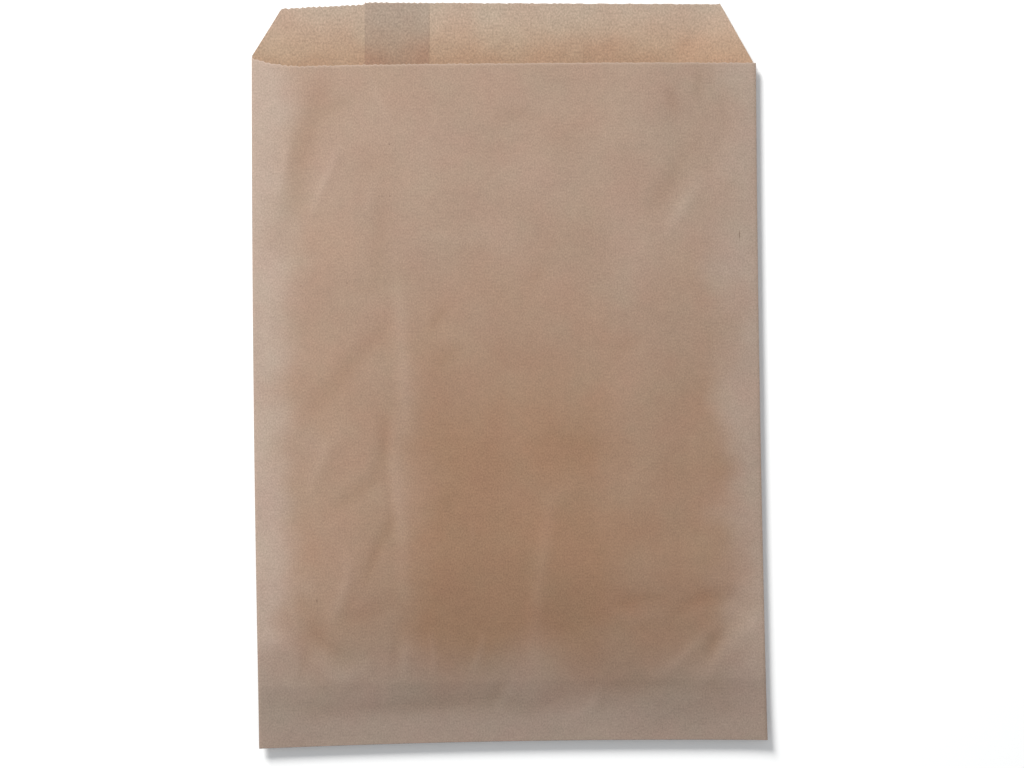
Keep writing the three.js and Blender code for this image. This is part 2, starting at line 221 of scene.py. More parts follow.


# Creases of the front: the points of each line in millimetres, its half width, its height, which is
# below nought for a valley, and the painted highlight along it, which is painted shade below nought.
CREASES = (
    # The long ridge over the seam, and the hollow beside its lower half
    (((-49, 36), (-49, 19), (-48, 5), (-47, -13), (-47, -28)), 4.6, 0.2, 0.055),
    (((-51, -22), (-52, -39), (-51, -60), (-49, -78), (-49, -104)), 4.4, 0.16, 0.045),
    (((-56, -22), (-57, -41), (-55, -60), (-54, -78)), 2.3, -0.16, -0.02),
    # The ridge down the middle of the lower half
    (((28, -54), (20, -59), (17, -74), (15, -88), (12, -107), (11, -121), (10, -137)), 4.4, 0.18, 0.035),
    # The broad hollow at the upper left, and the small ridges round it
    (((-82, 136), (-87, 123), (-93, 104), (-97, 85), (-101, 69), (-105, 54)), 7.5, -0.3, -0.06),
    (((-71, 126), (-78, 123), (-84, 119)), 3.7, -0.1, -0.03),
    (((-100, 110), (-102, 97), (-106, 81)), 2.3, 0.14, 0.03),
    (((-77, 103), (-82, 92), (-86, 83), (-90, 72)), 2.3, 0.18, 0.035),
    (((-64, 139), (-59, 127), (-53, 113)), 1.9, 0.1, 0.02),
    (((-60, 90), (-64, 73)), 3.3, 0.1, 0.02),
    (((-56, 78), (-58, 57), (-60, 39), (-72, 38)), 5.6, -0.12, -0.03),
    # Slanting folds left of the seam
    (((-54, 22), (-63, 12), (-73, 1), (-83, -11), (-89, -16)), 6.5, -0.26, -0.04),
    (((-58, -23), (-58, -39), (-61, -50), (-72, -58), (-83, -65)), 4.2, -0.22, -0.035),
    (((-76, -27), (-82, -34), (-87, -43), (-92, -55), (-91, -62)), 4.2, 0.22, 0.03),
    (((-54, -69), (-60, -80), (-65, -92), (-67, -97)), 3.3, -0.22, -0.045),
    (((-75, -86), (-75, -96), (-79, -106), (-83, -115)), 3.3, 0.24, 0.04),
    (((-74, -105), (-75, -114), (-65, -112), (-56, -107)), 4.7, -0.14, -0.035),
    (((-98, -102), (-95, -109)), 3.7, -0.1, -0.03),
    (((-102, -107), (-99, -114)), 1.9, 0.1, 0.03),
    # Short ones right of it
    (((-27, 30), (-36, 18)), 2.8, -0.14, -0.03),
    (((-32, 14), (-21, 16)), 2.8, 0.1, 0.02),
    (((-33, 2), (-23, 9)), 4.2, -0.12, -0.025),
    (((-38, 62), (-22, 60), (-4, 64)), 3.7, 0.08, 0.018),
    (((-30, -64), (-26, -61)), 4.2, -0.08, -0.03),
    (((-17, -69), (-17, -80)), 1.4, 0.06, 0.02),
    # Folds at the upper right
    (((90, 86), (84, 77), (75, 63)), 3.8, 0.2, 0.045),
    (((85, 102), (77, 86), (69, 75)), 5.6, -0.18, -0.035),
    (((77, 129), (79, 118)), 3.3, -0.14, -0.04),
    (((91, 138), (90, 125)), 3.3, -0.1, -0.035),
    (((99, 136), (102, 123), (102, 111), (95, 92)), 4.6, -0.14, -0.02),
    (((-2, 117), (7, 118), (16, 117)), 3.7, -0.12, -0.035),
    (((11, 39), (18, 48)), 4.2, -0.08, -0.025),
    (((51, 8), (62, 14)), 3.7, -0.08, -0.025),
    (((23, -36), (42, -38), (61, -37)), 10.2, -0.1, -0.02),
    (((99.6, 143), (99.3, 126)), 1.2, 0.06, 0.03),
    # The lower left corner, where the paper bends up over the flap
    (((-93, -116), (-87, -125), (-75, -133)), 3.7, -0.26, -0.04),
    (((-118, -121), (-110, -124), (-100, -128)), 5.6, 0.4, 0.05),
    (((-89, -132), (-86, -139), (-77, -142), (-68, -138)), 4.2, 0.3, 0.05),
    (((-95, -130), (-97, -140)), 2.8, -0.16, -0.04),
    # Flutes where the bend crosses the plies
    (((-53, -123), (-55, -136)), 2.8, -0.12, -0.025),
    (((-48, -125), (-50, -140)), 2.8, 0.14, 0.03),
    (((-37, -121), (-36, -140)), 1.9, 0.14, 0.04),
    (((-13, -123), (-15, -132), (-19, -141)), 2.3, 0.16, 0.045),
    (((-3, -144), (-11, -154)), 2.8, -0.12, -0.035),
    (((1, -146), (-6, -158)), 2.3, 0.1, 0.025),
    (((41, -148), (35, -159), (22, -165)), 2.8, 0.14, 0.035),
    # The dip along the flap
    (
        ((-109, -152), (-89, -157), (-52, -157), (-29, -155), (-6, -154), (8, -158), (23, -152)),
        5.1, -0.3, -0.055,
    ),
    (((39, -148), (63, -147), (87, -148), (114, -149)), 4.2, -0.16, -0.03),
    (((63, -164), (86, -160), (110, -157)), 7.4, -0.14, -0.03),
    # The lower right corner
    (((49, -110), (63, -106), (72, -108)), 3.3, -0.18, -0.035),
    (((46, -113), (56, -117), (69, -115)), 2.3, 0.14, 0.025),
    (((35, -120), (44, -120)), 2.3, 0.08, 0.025),
    (((77, -113), (88, -107), (101, -106), (115, -111)), 4.7, -0.34, -0.045),
    (((117, -117), (108, -123), (98, -133), (89, -145)), 5.2, 0.3, 0.05),
    (((94, -119), (85, -129), (74, -139), (66, -143)), 2.8, 0.22, 0.04),
    (((97, -122), (90, -136)), 2.8, -0.2, -0.04),
    (((80, -168), (83, -164)), 1.4, -0.06, -0.02),
    (((87, -166), (89, -163)), 1.4, -0.06, -0.02),
    (((97, -160), (103, -156)), 1.9, -0.08, -0.025),
)

# Dark specks in the front: the middle of each, its half width and half length in millimetres
SPECKS = (
    ((108.9, 61.7), 0.22, 1.9),
    ((-53.6, 105), 0.3, 0.45),
    ((-53.5, 81), 0.25, 0.4),
    ((-94.9, 40), 0.3, 0.3),
    ((-73.5, 41), 0.25, 0.35),
)


def clamp_share(value):
    return np.clip(value, 0, 1)


def smooth(share):
    return share * share * (3 - 2 * share)


def eased(value, start, width):
    """0 up to the start, 1 past the width, and a soft step between."""
    return smooth(clamp_share((value - start) / width))


def distance_to_line(x, y, points):
    """Distance of each place from a bent line, and how far along the line, from 0 to 1, its foot lies."""
    nearest = np.full(x.shape, np.inf)
    along = np.zeros(x.shape)
    lengths = [math.dist(a, b) for a, b in zip(points, points[1:])]
    done = 0
    for (ax, ay), (bx, by), length in zip(points, points[1:], lengths):
        share = clamp_share(((x - ax) * (bx - ax) + (y - ay) * (by - ay)) / length**2)
        away = np.hypot(x - ax - share * (bx - ax), y - ay - share * (by - ay))
        closer = away < nearest
        nearest = np.where(closer, away, nearest)
        along = np.where(closer, (done + share * length) / sum(lengths), along)
        done += length
    return nearest, along


def crease_sum(x, y, what):
    """Sum of the creases' heights or painted highlights and shades at each place: soft rolls that fade out
    at both ends.
    """
    total = np.zeros(x.shape)
    for points, half_width, height, crease_shade in CREASES:
        line = [(px * MM, py * MM) for px, py in points]
        away, along = distance_to_line(x, y, line)
        across = np.exp(-ROLL_FALL * (away / (half_width * MM)) ** 2)
        fade = np.sin(math.pi * clamp_share(FADE_START + FADE_SPAN * along)) ** FADE_POWER
        total += across * fade * (height * MM if what == "height" else crease_shade)
    return total


def wave_height(x, y, size, seed):
    """Smooth waviness of one wavelength, the same each run."""
    values = [
        noise.noise(Vector((px / size, py / size, seed)), noise_basis="PERLIN_ORIGINAL")
        for px, py in zip(x.ravel(), y.ravel())
    ]
    return np.array(values).reshape(x.shape)


def wave_sum(x, y, waves):
    """Sum of several waves, each given by its wavelength in millimetres, its seed and its height."""
    return sum(height * wave_height(x, y, size * MM, seed) for size, seed, height in waves)


class FoldedSheet:
    """Places every point of the folded sheet. Lengths are in metres, x and y on the flat bag."""

    def __init__(self, sizes, pose):
        self.sizes = sizes
        self.pose = pose
        self.half_width = (BAG_HIGH.x - BAG_LOW.x - sizes.fold_bow) / 2
        self.mouth = TOP - sizes.lip_length
        self.front_length = self.mouth - BOTTOM
        self.seam_outer = sizes.seam_offset - sizes.seam_overlap / 2
        self.seam_inner = sizes.seam_offset + sizes.seam_overlap / 2

    def bowed(self, x, y):
        """The side folds bow to the left, and the bottom fold bows in at its middle."""
        moved_x = x - self.sizes.fold_bow * (0.5 - (y / TOP) ** 2)
        across = 1 - (x / self.half_width) ** 2
        moved_y = y + self.sizes.bottom_bow * across * clamp_share(y / BOTTOM) ** 2
        return moved_x, moved_y

    def curl(self, x, y):
        """Height of the back above the table."""
        pose = self.pose
        bottom = clamp_share((BOTTOM + pose.bottom_curl - y) / pose.bottom_curl)
        right = clamp_share((x - self.half_width + pose.right_curl) / pose.right_curl)
        left = clamp_share((-x - self.half_width + pose.left_curl) / pose.left_curl)
        lip = clamp_share((y - self.mouth) / self.sizes.lip_length)
        total = (
            (pose.bottom_rise * bottom**BOTTOM_CURL_BEND) ** CURL_BLEND
            + (pose.right_rise * right**SIDE_CURL_BEND) ** CURL_BLEND
            + (pose.left_rise * left**SIDE_CURL_BEND) ** CURL_BLEND
            + (pose.lip_rise * lip**LIP_CURL_BEND) ** CURL_BLEND
        )
        return total ** (1 / CURL_BLEND)

    def gap(self, x, y):
        """Height of the space between front and back."""
        pose = self.pose
        across = np.maximum(1 - np.abs(x / self.half_width) ** POCKET_FULLNESS, 0)
        run_in = smooth(clamp_share((y - BOTTOM) / pose.run_in))
        toward_mouth = smooth(clamp_share((y - BOTTOM - pose.run_in) / (self.front_length - pose.run_in)))
        rise = pose.pocket_rise + (pose.mouth_rise - pose.pocket_rise) * toward_mouth
        crumple = wave_sum(x, y, CRUMPLE_WAVES) * pose.crumple
        bends = crease_sum(x, y, "height") * pose.crease_strength + crumple
        near_fold = eased(np.minimum(self.half_width - np.abs(x), y - BOTTOM), 0, FLAT_AT_FOLD)
        room = self.sizes.clearance + across * run_in * rise
        return np.maximum(room + bends * near_fold, self.sizes.clearance)

    def looseness_and_sheen(self, x, y):
        """0 where the front's paper touches the ply behind it, and 1 where it stands free. The share also
        paints shade, darkest in the lower middle, and a sheen toward the margins, the top and the bottom
        edge.
        """
        px = x / MM + wave_sum(x, y, STRAY_X_WAVES)
        py = y / MM + wave_sum(x, y, STRAY_Y_WAVES)
        lower = eased(-py, *LOWER_HALF)
        touch = (TOUCH_AT_MOUTH + LOWER_HALF_GAIN * lower) * (1 - eased(-py, *BOTTOM_BEND))
        left = eased(px, *LEFT_MARGIN) * (1 - LEFT_OF_SEAM_LOSS * lower * eased(-px, *LEFT_OF_SEAM))
        right = 1 - RIGHT_HALF_LOSS * eased(px, *RIGHT_HALF) - RIGHT_MARGIN_LOSS * eased(px, *RIGHT_MARGIN)
        below = BOTTOM_END_LOSS * eased(-py, *BOTTOM_END)
        return clamp_share(1 - touch * left * right + below + wave_sum(x, y, PATCH_WAVES))

    def mouth_cut(self, x):
        """Where the front's cut lies: it rises to the left fold."""
        sizes = self.sizes
        share = clamp_share((sizes.left_cut_width - self.half_width - x) / sizes.left_cut_width)
        return self.mouth + sizes.left_cut_rise * share**2

    def lip_cut(self, x):
        """Where the lip's cut lies: it slants down both ways from a step at the seam's outer edge."""
        sizes = self.sizes
        past = x - self.seam_outer
        left = sizes.seam_step - sizes.left_slant * past / (self.half_width + self.seam_outer)
        right = sizes.right_slant * past / (self.half_width - self.seam_outer)
        return TOP - np.where(past < -HAIR, left, right)


def evenly(low, high, spacing):
    steps = max(round((high - low) / spacing), 1)
    return [low + (high - low) * i / steps for i in range(steps + 1)]


class SheetMesh:
    """Gathers the sheet's points and faces, panel by panel."""

    def __init__(self):
        self.points = []
        self.flat = []
        self.cut = []
        self.look = []
        self.index = {}
        self.faces = []

    def point(self, key, place, flat, cut=0.0, look=PLAIN_LOOK):
        if key not in self.index:
            self.index[key] = len(self.points)
            self.points.append(place)
            self.flat.append(flat)
            self.cut.append(cut)
            self.look.append(look)
        return self.index[key]

    def strip(self, keys_a, keys_b):
        """Faces between two rows of points, wherever all four corners exist."""
        for (a, b), (c, d) in zip(zip(keys_a, keys_a[1:]), zip(keys_b, keys_b[1:])):
            corners = [a, b, d, c]
            if all(key in self.index for key in corners):
                self.faces.append([self.index[key] for key in corners])


def build_sheet(sizes, pose):
    """The whole folded sheet as one open surface, at the middle of the paper, outside facing out."""
    sheet = FoldedSheet(sizes, pose)
    mesh = SheetMesh()
    paper = sizes.paper
    first_row = BOTTOM + FOLD_INSET
    columns = evenly(-sheet.half_width + FOLD_INSET, sheet.half_width - FOLD_INSET, sizes.tooth_pitch / 2)
    rows = evenly(first_row, sheet.mouth, sizes.row_spacing)
    lip_rows = evenly(sheet.mouth, TOP, LIP_ROW_SPACING)[1:]
    x, y = np.meshgrid(np.array(columns), np.array(rows))
    # The front's rows fan out a little at the upper left, where its cut rises to the fold
    y = first_row + (y - first_row) * (sheet.mouth_cut(x) - first_row) / (sheet.mouth - first_row)
    front_z = sheet.curl(x, y) + FRONT_LEVEL * paper + sheet.gap(x, y)
    # The share of painted sheen over painted shade, with the paper's looseness
    loose_and_sheen = sheet.looseness_and_sheen(x, y)
    # Painted highlight along the ridges and painted shade along the valleys
    crease_shade = crease_sum(x, y, "crease_shade") * pose.crease_shade_strength
    last = len(rows) - 1
    for j in range(len(rows)):
        for i in range(len(columns)):
            place = (x[j, i], y[j, i], front_z[j, i])
            look = (loose_and_sheen[j, i], crease_shade[j, i])
            mesh.point(("front", i, j), place, (x[j, i], y[j, i]), 1.0 if j == last else 0.0, look)

    def back_row(j, row_y):
        """Points of the inner ply, which starts at the left fold, and of the outer ply, at the right."""
        cut = 1.0 if j == last + len(lip_rows) else 0.0
        share = (row_y - sheet.mouth) / (TOP - sheet.mouth)
        plies = (("inner", sheet.seam_inner, INNER_LEVEL), ("outer", sheet.seam_outer, OUTER_LEVEL))
        for side, seam_x, level in plies:
            for i, home in enumerate(columns):
                on_ply = home < seam_x if side == "inner" else home > seam_x
                near_seam = abs(home - seam_x) < sizes.tooth_pitch / 4
                if not (on_ply or near_seam):
                    continue
                px = seam_x if near_seam else home
                if share <= 0:
                    py = float(y[j, i])
                else:
                    py = sheet.mouth + share * (float(sheet.lip_cut(px)) - sheet.mouth)
                lift = float(sheet.curl(np.array(px), np.array(py)))
                free_edge = 0.0
                if side == "inner":
                    near_edge = max(1 - (seam_x - px) / FREE_EDGE_WIDTH, 0)
                    free_edge = FREE_EDGE_LIFT * max(share, 0) * near_edge**2
                mesh.point((side, i, j), (px, py, lift + level * paper + free_edge), (px, py), cut)

    for j, row_y in enumerate(rows + lip_rows):
        back_row(j, row_y)

    right = len(columns) - 1
    for j in range(last + 1):
        for side, i, sign in (("inner", 0, -1), ("outer", right, 1)):
            top = mesh.points[mesh.index[("front", i, j)]]
            low = mesh.points[mesh.index[(side, i, j)]]
            radius = (top[2] - low[2]) / 2
            for k in range(1, FOLD_STEPS):
                angle = math.pi * k / FOLD_STEPS
                place = (
                    top[0] + sign * radius * math.sin(angle),
                    top[1],
                    low[2] + radius + radius * math.cos(angle),
                )
                mesh.point((side + "_fold", k, j), place, (top[0], top[1]))

    flap_rows = evenly(first_row, BOTTOM + sizes.flap_length, sizes.row_spacing)
    for j, row_y in enumerate(flap_rows):
        cut = -1.0 if j == len(flap_rows) - 1 else 0.0
        for i, home in enumerate(columns):
            level = float(sheet.curl(np.array(home), np.array(row_y))) + FLAP_LEVEL * paper
            mesh.point(("flap", i, j), (home, row_y, level), (home, row_y - FLAP_PATTERN_SHIFT), cut)
    for i in range(len(columns)):
        top = mesh.points[mesh.index[("front", i, 0)]]
        low = mesh.points[mesh.index[("flap", i, 0)]]
        radius = (top[2] - low[2]) / 2
        for k in range(1, FOLD_STEPS):
            angle = math.pi * k / FOLD_STEPS
            place = (
                top[0],
                top[1] - BOTTOM_FOLD_DEPTH * radius * math.sin(angle),
                low[2] + radius + radius * math.cos(angle),
            )
            mesh.point(("bottom_fold", k, i), place, (top[0], top[1]))

    span = range(len(columns))
    for j in range(last):
        mesh.strip([("front", i, j) for i in span], [("front", i, j + 1) for i in span])
    for side in ("inner", "outer"):
        for j in range(last + len(lip_rows)):
            mesh.strip([(side, i, j + 1) for i in span], [(side, i, j) for i in span])
    for side, i, flip in (("inner", 0, False), ("outer", right, True)):
        chain = [("front", i)] + [(side + "_fold", k) for k in range(1, FOLD_STEPS)] + [(side, i)]
        for j in range(last):
            low = [(*key, j) for key in chain]
            high = [(*key, j + 1) for key in chain]
            mesh.strip(*((low, high) if flip else (high, low)))
    bends = [("bottom_fold", k, None) for k in range(1, FOLD_STEPS)]
    chain = [("front", None, 0), *bends, ("flap", None, 0)]
    for a, b in zip(chain, chain[1:]):
        row_a = [tuple(i if part is None else part for part in a) for i in span]
        row_b = [tuple(i if part is None else part for part in b) for i in span]
        mesh.strip(row_b, row_a)
    for j in range(len(flap_rows) - 1):
        mesh.strip([("flap", i, j + 1) for i in span], [("flap", i, j) for i in span])
    return sheet, mesh


def cut_chamfers(bm, sheet):
    """Cuts the lip's two slanting corners."""
    sizes = sheet.sizes
    left = -sheet.half_width + sizes.left_chamfer
    right = sheet.half_width - sizes.right_chamfer
    left_start = (-sheet.half_width, float(sheet.mouth_cut(-sheet.half_width)))
    left_end = (left, float(sheet.lip_cut(left)))
    right_start = (sheet.half_width - sizes.chamfer_notch, sheet.mouth)
    right_end = (right, float(sheet.lip_cut(right)))
    front = bm.verts.layers.float["front"]
    for start, end, sign in ((left_start, left_end, 1), (right_start, right_end, -1)):
        outward = Vector((start[1] - end[1], end[0] - start[0], 0)) * sign
        faces = [
            face
            for face in bm.faces
            if face.calc_center_median().y > sheet.mouth - sizes.row_spacing / 5
            and face.calc_center_median().x * sign < 0
            and all(vert[front] < 0.5 for vert in face.verts)
        ]
        geometry = set(faces)
        for face in faces:
            geometry.update(face.verts)
            geometry.update(face.edges)
        bmesh.ops.bisect_plane(
            bm, geom=list(geometry), plane_co=(*start, 0), plane_no=outward, clear_outer=True, dist=HAIR / 10
        )


def add_node(tree, kind, inputs=None, **settings):
    """Adds a node, sets its settings, and fills or links its inputs by name or place."""
    node = tree.nodes.new(kind)
    for name, value in settings.items():
        setattr(node, name, value)
    for key, value in (inputs or {}).items():
        if isinstance(value, bpy.types.NodeSocket):
            tree.links.new(value, node.inputs[key])
        else:
            node.inputs[key].default_value = value
    return node


def new_tree(name, kind, inputs, outputs):
    """A node group with its sockets, and its input and output nodes."""
    tree = bpy.data.node_groups.new(name, kind)
    for label, socket_type, default in inputs:
        socket = tree.interface.new_socket(label, in_out="INPUT", socket_type=socket_type)
        if default is not None:
            socket.default_value = default
    for label, socket_type in outputs:
        tree.interface.new_socket(label, in_out="OUTPUT", socket_type=socket_type)
    return tree, tree.nodes.new("NodeGroupInput"), tree.nodes.new("NodeGroupOutput")


def math_node(tree, operation, a, b=0.0, clamp=False):
    return add_node(tree, "ShaderNodeMath", {0: a, 1: b}, operation=operation, use_clamp=clamp).outputs[0]


def ramp_node(tree, value, low, high, to_low=0.0, to_high=1.0, smooth_step=True):
    kind = "SMOOTHSTEP" if smooth_step else "LINEAR"
    inputs = {"Value": value, "From Min": low, "From Max": high, "To Min": to_low, "To Max": to_high}
    return add_node(tree, "ShaderNodeMapRange", inputs, interpolation_type=kind).outputs["Result"]


def noise_node(tree, vector, scale, detail=2.0, roughness=0.5):
    inputs = {"Vector": vector, "Scale": scale, "Detail": detail, "Roughness": roughness}
    return add_node(tree, "ShaderNodeTexNoise", inputs).outputs["Fac"]


def fibre_group():
    """Cloudy formation and fine felted fibres: a tone about nought and a height."""
    tree, given, out = new_tree(
        "Kraft Fibres",
        "ShaderNodeTree",
        [("Vector", "NodeSocketVector", None), ("Grain Size", "NodeSocketFloat", 0.0009)],
        [("Tone", "NodeSocketFloat"), ("Hue", "NodeSocketFloat"), ("Height", "NodeSocketFloat")],
    )
    fibre_stretch = (1.0, 0.8, 1.0)
    cloud_scale, drift_scale, hue_scale = 0.16, 0.02, 0.03
    grain_share, cloud_share, drift_share, cloud_height = 2.4, 0.6, 0.5, 1.5
    scale = math_node(tree, "DIVIDE", 1.0, given.outputs["Grain Size"])
    point = given.outputs["Vector"]
    drawn = add_node(tree, "ShaderNodeMapping", {"Vector": point, "Scale": fibre_stretch}).outputs["Vector"]
    grain = noise_node(tree, drawn, scale, roughness=0.6)
    cloud_size = math_node(tree, "MULTIPLY", scale, cloud_scale)
    cloud = noise_node(tree, point, cloud_size, detail=3.0, roughness=0.6)
    drift = noise_node(tree, point, math_node(tree, "MULTIPLY", scale, drift_scale))
    hue = noise_node(tree, point, math_node(tree, "MULTIPLY", scale, hue_scale), roughness=0.6)
    tone = 0.0
    for layer, layer_share in ((grain, grain_share), (cloud, cloud_share), (drift, drift_share)):
        about_nought = math_node(tree, "SUBTRACT", layer, 0.5)
        tone = math_node(tree, "ADD", tone, math_node(tree, "MULTIPLY", about_nought, layer_share))
    height = math_node(tree, "ADD", grain, math_node(tree, "MULTIPLY", cloud, cloud_height))
    tree.links.new(tone, out.inputs["Tone"])
    tree.links.new(math_node(tree, "SUBTRACT", hue, 0.5), out.inputs["Hue"])
    tree.links.new(height, out.inputs["Height"])
    return tree


def fleck_group():
    """Sparse dark flecks of bark, each a short stroke."""
    tree, given, out = new_tree(
        "Bark Flecks",
        "ShaderNodeTree",
        [("Vector", "NodeSocketVector", None), ("Spacing", "NodeSocketFloat", 0.012)],
        [("Mask", "NodeSocketFloat")],
    )
    scale = math_node(tree, "DIVIDE", 1.0, given.outputs["Spacing"])
    # Only some of the cells hold a fleck, and only in some patches of the paper
    patch_scale = 60.0
    rare, patchy = (0.62, 0.66), (0.3, 0.6)
    lean, stroke, fleck_reach = (0, 0, 0.5), (1, 0.45, 1), 0.045
    patches = noise_node(tree, given.outputs["Vector"], patch_scale)
    drawn = {"Vector": given.outputs["Vector"], "Rotation": lean, "Scale": stroke}
    turned = add_node(tree, "ShaderNodeMapping", drawn).outputs["Vector"]
    cells = add_node(tree, "ShaderNodeTexVoronoi", {"Vector": turned, "Scale": scale, "Randomness": 1.0})
    near = ramp_node(tree, cells.outputs["Distance"], 0.0, fleck_reach, 1.0, 0.0)
    chosen = ramp_node(tree, cells.outputs["Color"], *rare)
    chosen = math_node(tree, "MULTIPLY", chosen, ramp_node(tree, patches, *patchy))
    tree.links.new(math_node(tree, "MULTIPLY", near, chosen), out.inputs["Mask"])
    return tree


def band_group():
    """1 between two places along a line, with soft ends."""
    tree, given, out = new_tree(
        "Ply Band",
        "ShaderNodeTree",
        [
            ("Place", "NodeSocketFloat", 0.0),
            ("Low", "NodeSocketFloat", 0.0),
            ("High", "NodeSocketFloat", 1.0),
            ("Softness", "NodeSocketFloat", 0.0004),
        ],
        [("Mask", "NodeSocketFloat")],
    )
    place, low, high = (given.outputs[name] for name in ("Place", "Low", "High"))
    soft = given.outputs["Softness"]
    (low_start, low_end), (high_start, high_end) = (
        (math_node(tree, "SUBTRACT", end, soft), math_node(tree, "ADD", end, soft)) for end in (low, high)
    )
    rising = ramp_node(tree, place, low_start, low_end)
    falling = ramp_node(tree, place, high_start, high_end, 1.0, 0.0)
    tree.links.new(math_node(tree, "MULTIPLY", rising, falling), out.inputs["Mask"])
    return tree


def mix_colour(tree, factor, a, b, blend="MIX"):
    node = add_node(tree, "ShaderNodeMix", {"Factor": factor}, data_type="RGBA", blend_type=blend)
    for key, value in ((6, a), (7, b)):
        if isinstance(value, bpy.types.NodeSocket):
            tree.links.new(value, node.inputs[key])
        else:
            node.inputs[key].default_value = (*value, 1.0)
    return node.outputs[2]


def speck_group():
    """One dark speck or stray fibre: a small upright ellipse."""
    tree, given, out = new_tree(
        "Stray Speck",
        "ShaderNodeTree",
        [
            ("Vector", "NodeSocketVector", None),
            ("Middle", "NodeSocketVector", None),
            ("Half Size", "NodeSocketVector", None),
        ],
        [("Mask", "NodeSocketFloat")],
    )
    core, rim = 0.5, 1.3
    vector, middle, half_size = (given.outputs[name] for name in ("Vector", "Middle", "Half Size"))
    away = add_node(tree, "ShaderNodeVectorMath", {0: vector, 1: middle}, operation="SUBTRACT").outputs[0]
    scaled = add_node(tree, "ShaderNodeVectorMath", {0: away, 1: half_size}, operation="DIVIDE").outputs[0]
    reach = add_node(tree, "ShaderNodeVectorMath", {0: scaled}, operation="LENGTH").outputs["Value"]
    tree.links.new(ramp_node(tree, reach, core, rim, 1.0, 0.0), out.inputs["Mask"])
    return tree


def group_node(tree, group, **inputs):
    """A node group with its inputs filled or linked; an input's name has _ where the socket has a space."""
    named = {name.replace("_", " ").title(): value for name, value in inputs.items()}
    return add_node(tree, "ShaderNodeGroup", named, node_tree=group)


# The paper's bump and gloss, its two tints and the hue at which each is full, how fast the torn look, with
# the painted highlight on the front's cut, fades away from a cut, and how strongly each side shows it
BUMP_STRENGTH = 0.3
BUMP_DEPTH = 0.05 * MM
SPECULAR = 0.35
WARM_TINT = (1.025, 0.985, 0.985)
COOL_TINT = (0.98, 1.012, 0.985)
HUE_REACH = 0.25
TORN_FALL = 5.0
TORN_OUTSIDE = 0.5
TORN_INSIDE = 0.4
# The size of the grain on the outside, the inside and the cuts, and how much each side shows the mottle
OUTSIDE_GRAIN = 0.7 * MM
INSIDE_GRAIN = 0.85 * MM
CUT_GRAIN = 0.8 * MM
OUTSIDE_CONTRAST = 2
INSIDE_CONTRAST = 2.6
# The inside and the cuts are rougher than the outside by this, and take other places of the pattern
INSIDE_ROUGHER = 0.15
CUT_ROUGHER = 0.2
INSIDE_SHIFT = (0.31, 0.17, 0)
CUT_SHIFT = (0.11, 0.05, 0)
# How much a crease's painted highlight and shade and the fibres' hue loosen the front's look, and the
# strength of a dark fleck
CREASE_SHADE_PULL = 2.5
HUE_PULL = 0.15
FLECK_STRENGTH = 0.7
# Where the painted shade of the bend at the bottom darkens the front, above the bottom fold, and how soft
# the edges of the flap's and the seam's tones are
BEND_START = 18 * MM
BEND_END = 62 * MM
FLAP_SOFTNESS = 1.2 * MM
SEAM_SOFTNESS = 0.35 * MM
# How much the hue's patches blur the inside's change of colour toward the lip's cut
INSIDE_HUE_PULL = 0.9


def new_kraft(name, groups, grain, shift, roughness):
    """A paper material with its fibres and its bump, and the nodes that its colour starts from."""
    material = bpy.data.materials.new(name)
    material.use_nodes = True
    tree = material.node_tree
    shader = tree.nodes["Principled BSDF"]
    flat = add_node(tree, "ShaderNodeUVMap", uv_map="Sheet").outputs["UV"]
    moved = add_node(tree, "ShaderNodeMapping", {"Vector": flat, "Location": shift}).outputs["Vector"]
    fibres = group_node(tree, groups["fibres"], vector=moved, grain_size=grain)
    relief = {"Strength": BUMP_STRENGTH, "Distance": BUMP_DEPTH, "Height": fibres.outputs["Height"]}
    bump = add_node(tree, "ShaderNodeBump", relief)
    tree.links.new(bump.outputs["Normal"], shader.inputs["Normal"])
    shader.inputs["Roughness"].default_value = roughness
    shader.inputs["Specular IOR Level"].default_value = SPECULAR
    return material, tree, shader, flat, moved, fibres


def toned(tree, base, fibres, contrast):
    """The fibres' tone and hue on top of a colour."""
    tone = math_node(tree, "ADD", math_node(tree, "MULTIPLY", fibres.outputs["Tone"], contrast), 1.0)
    base = mix_colour(tree, 1.0, base, tone, "MULTIPLY")
    warm = ramp_node(tree, fibres.outputs["Hue"], -HUE_REACH, HUE_REACH, smooth_step=False)
    tint = mix_colour(tree, warm, WARM_TINT, COOL_TINT)
    return mix_colour(tree, 1.0, base, tint, "MULTIPLY")


def torn_edge_and_highlight(tree, base, torn, amount):
    """Paler along the cuts: open fibres, and on the front's cut also a painted highlight where the edge
    catches the light.
    """
    cut = add_node(tree, "ShaderNodeAttribute", attribute_name="cut").outputs["Fac"]
    frayed_and_lit = math_node(tree, "POWER", math_node(tree, "ABSOLUTE", cut), TORN_FALL)
    return mix_colour(tree, math_node(tree, "MULTIPLY", frayed_and_lit, amount), base, torn)


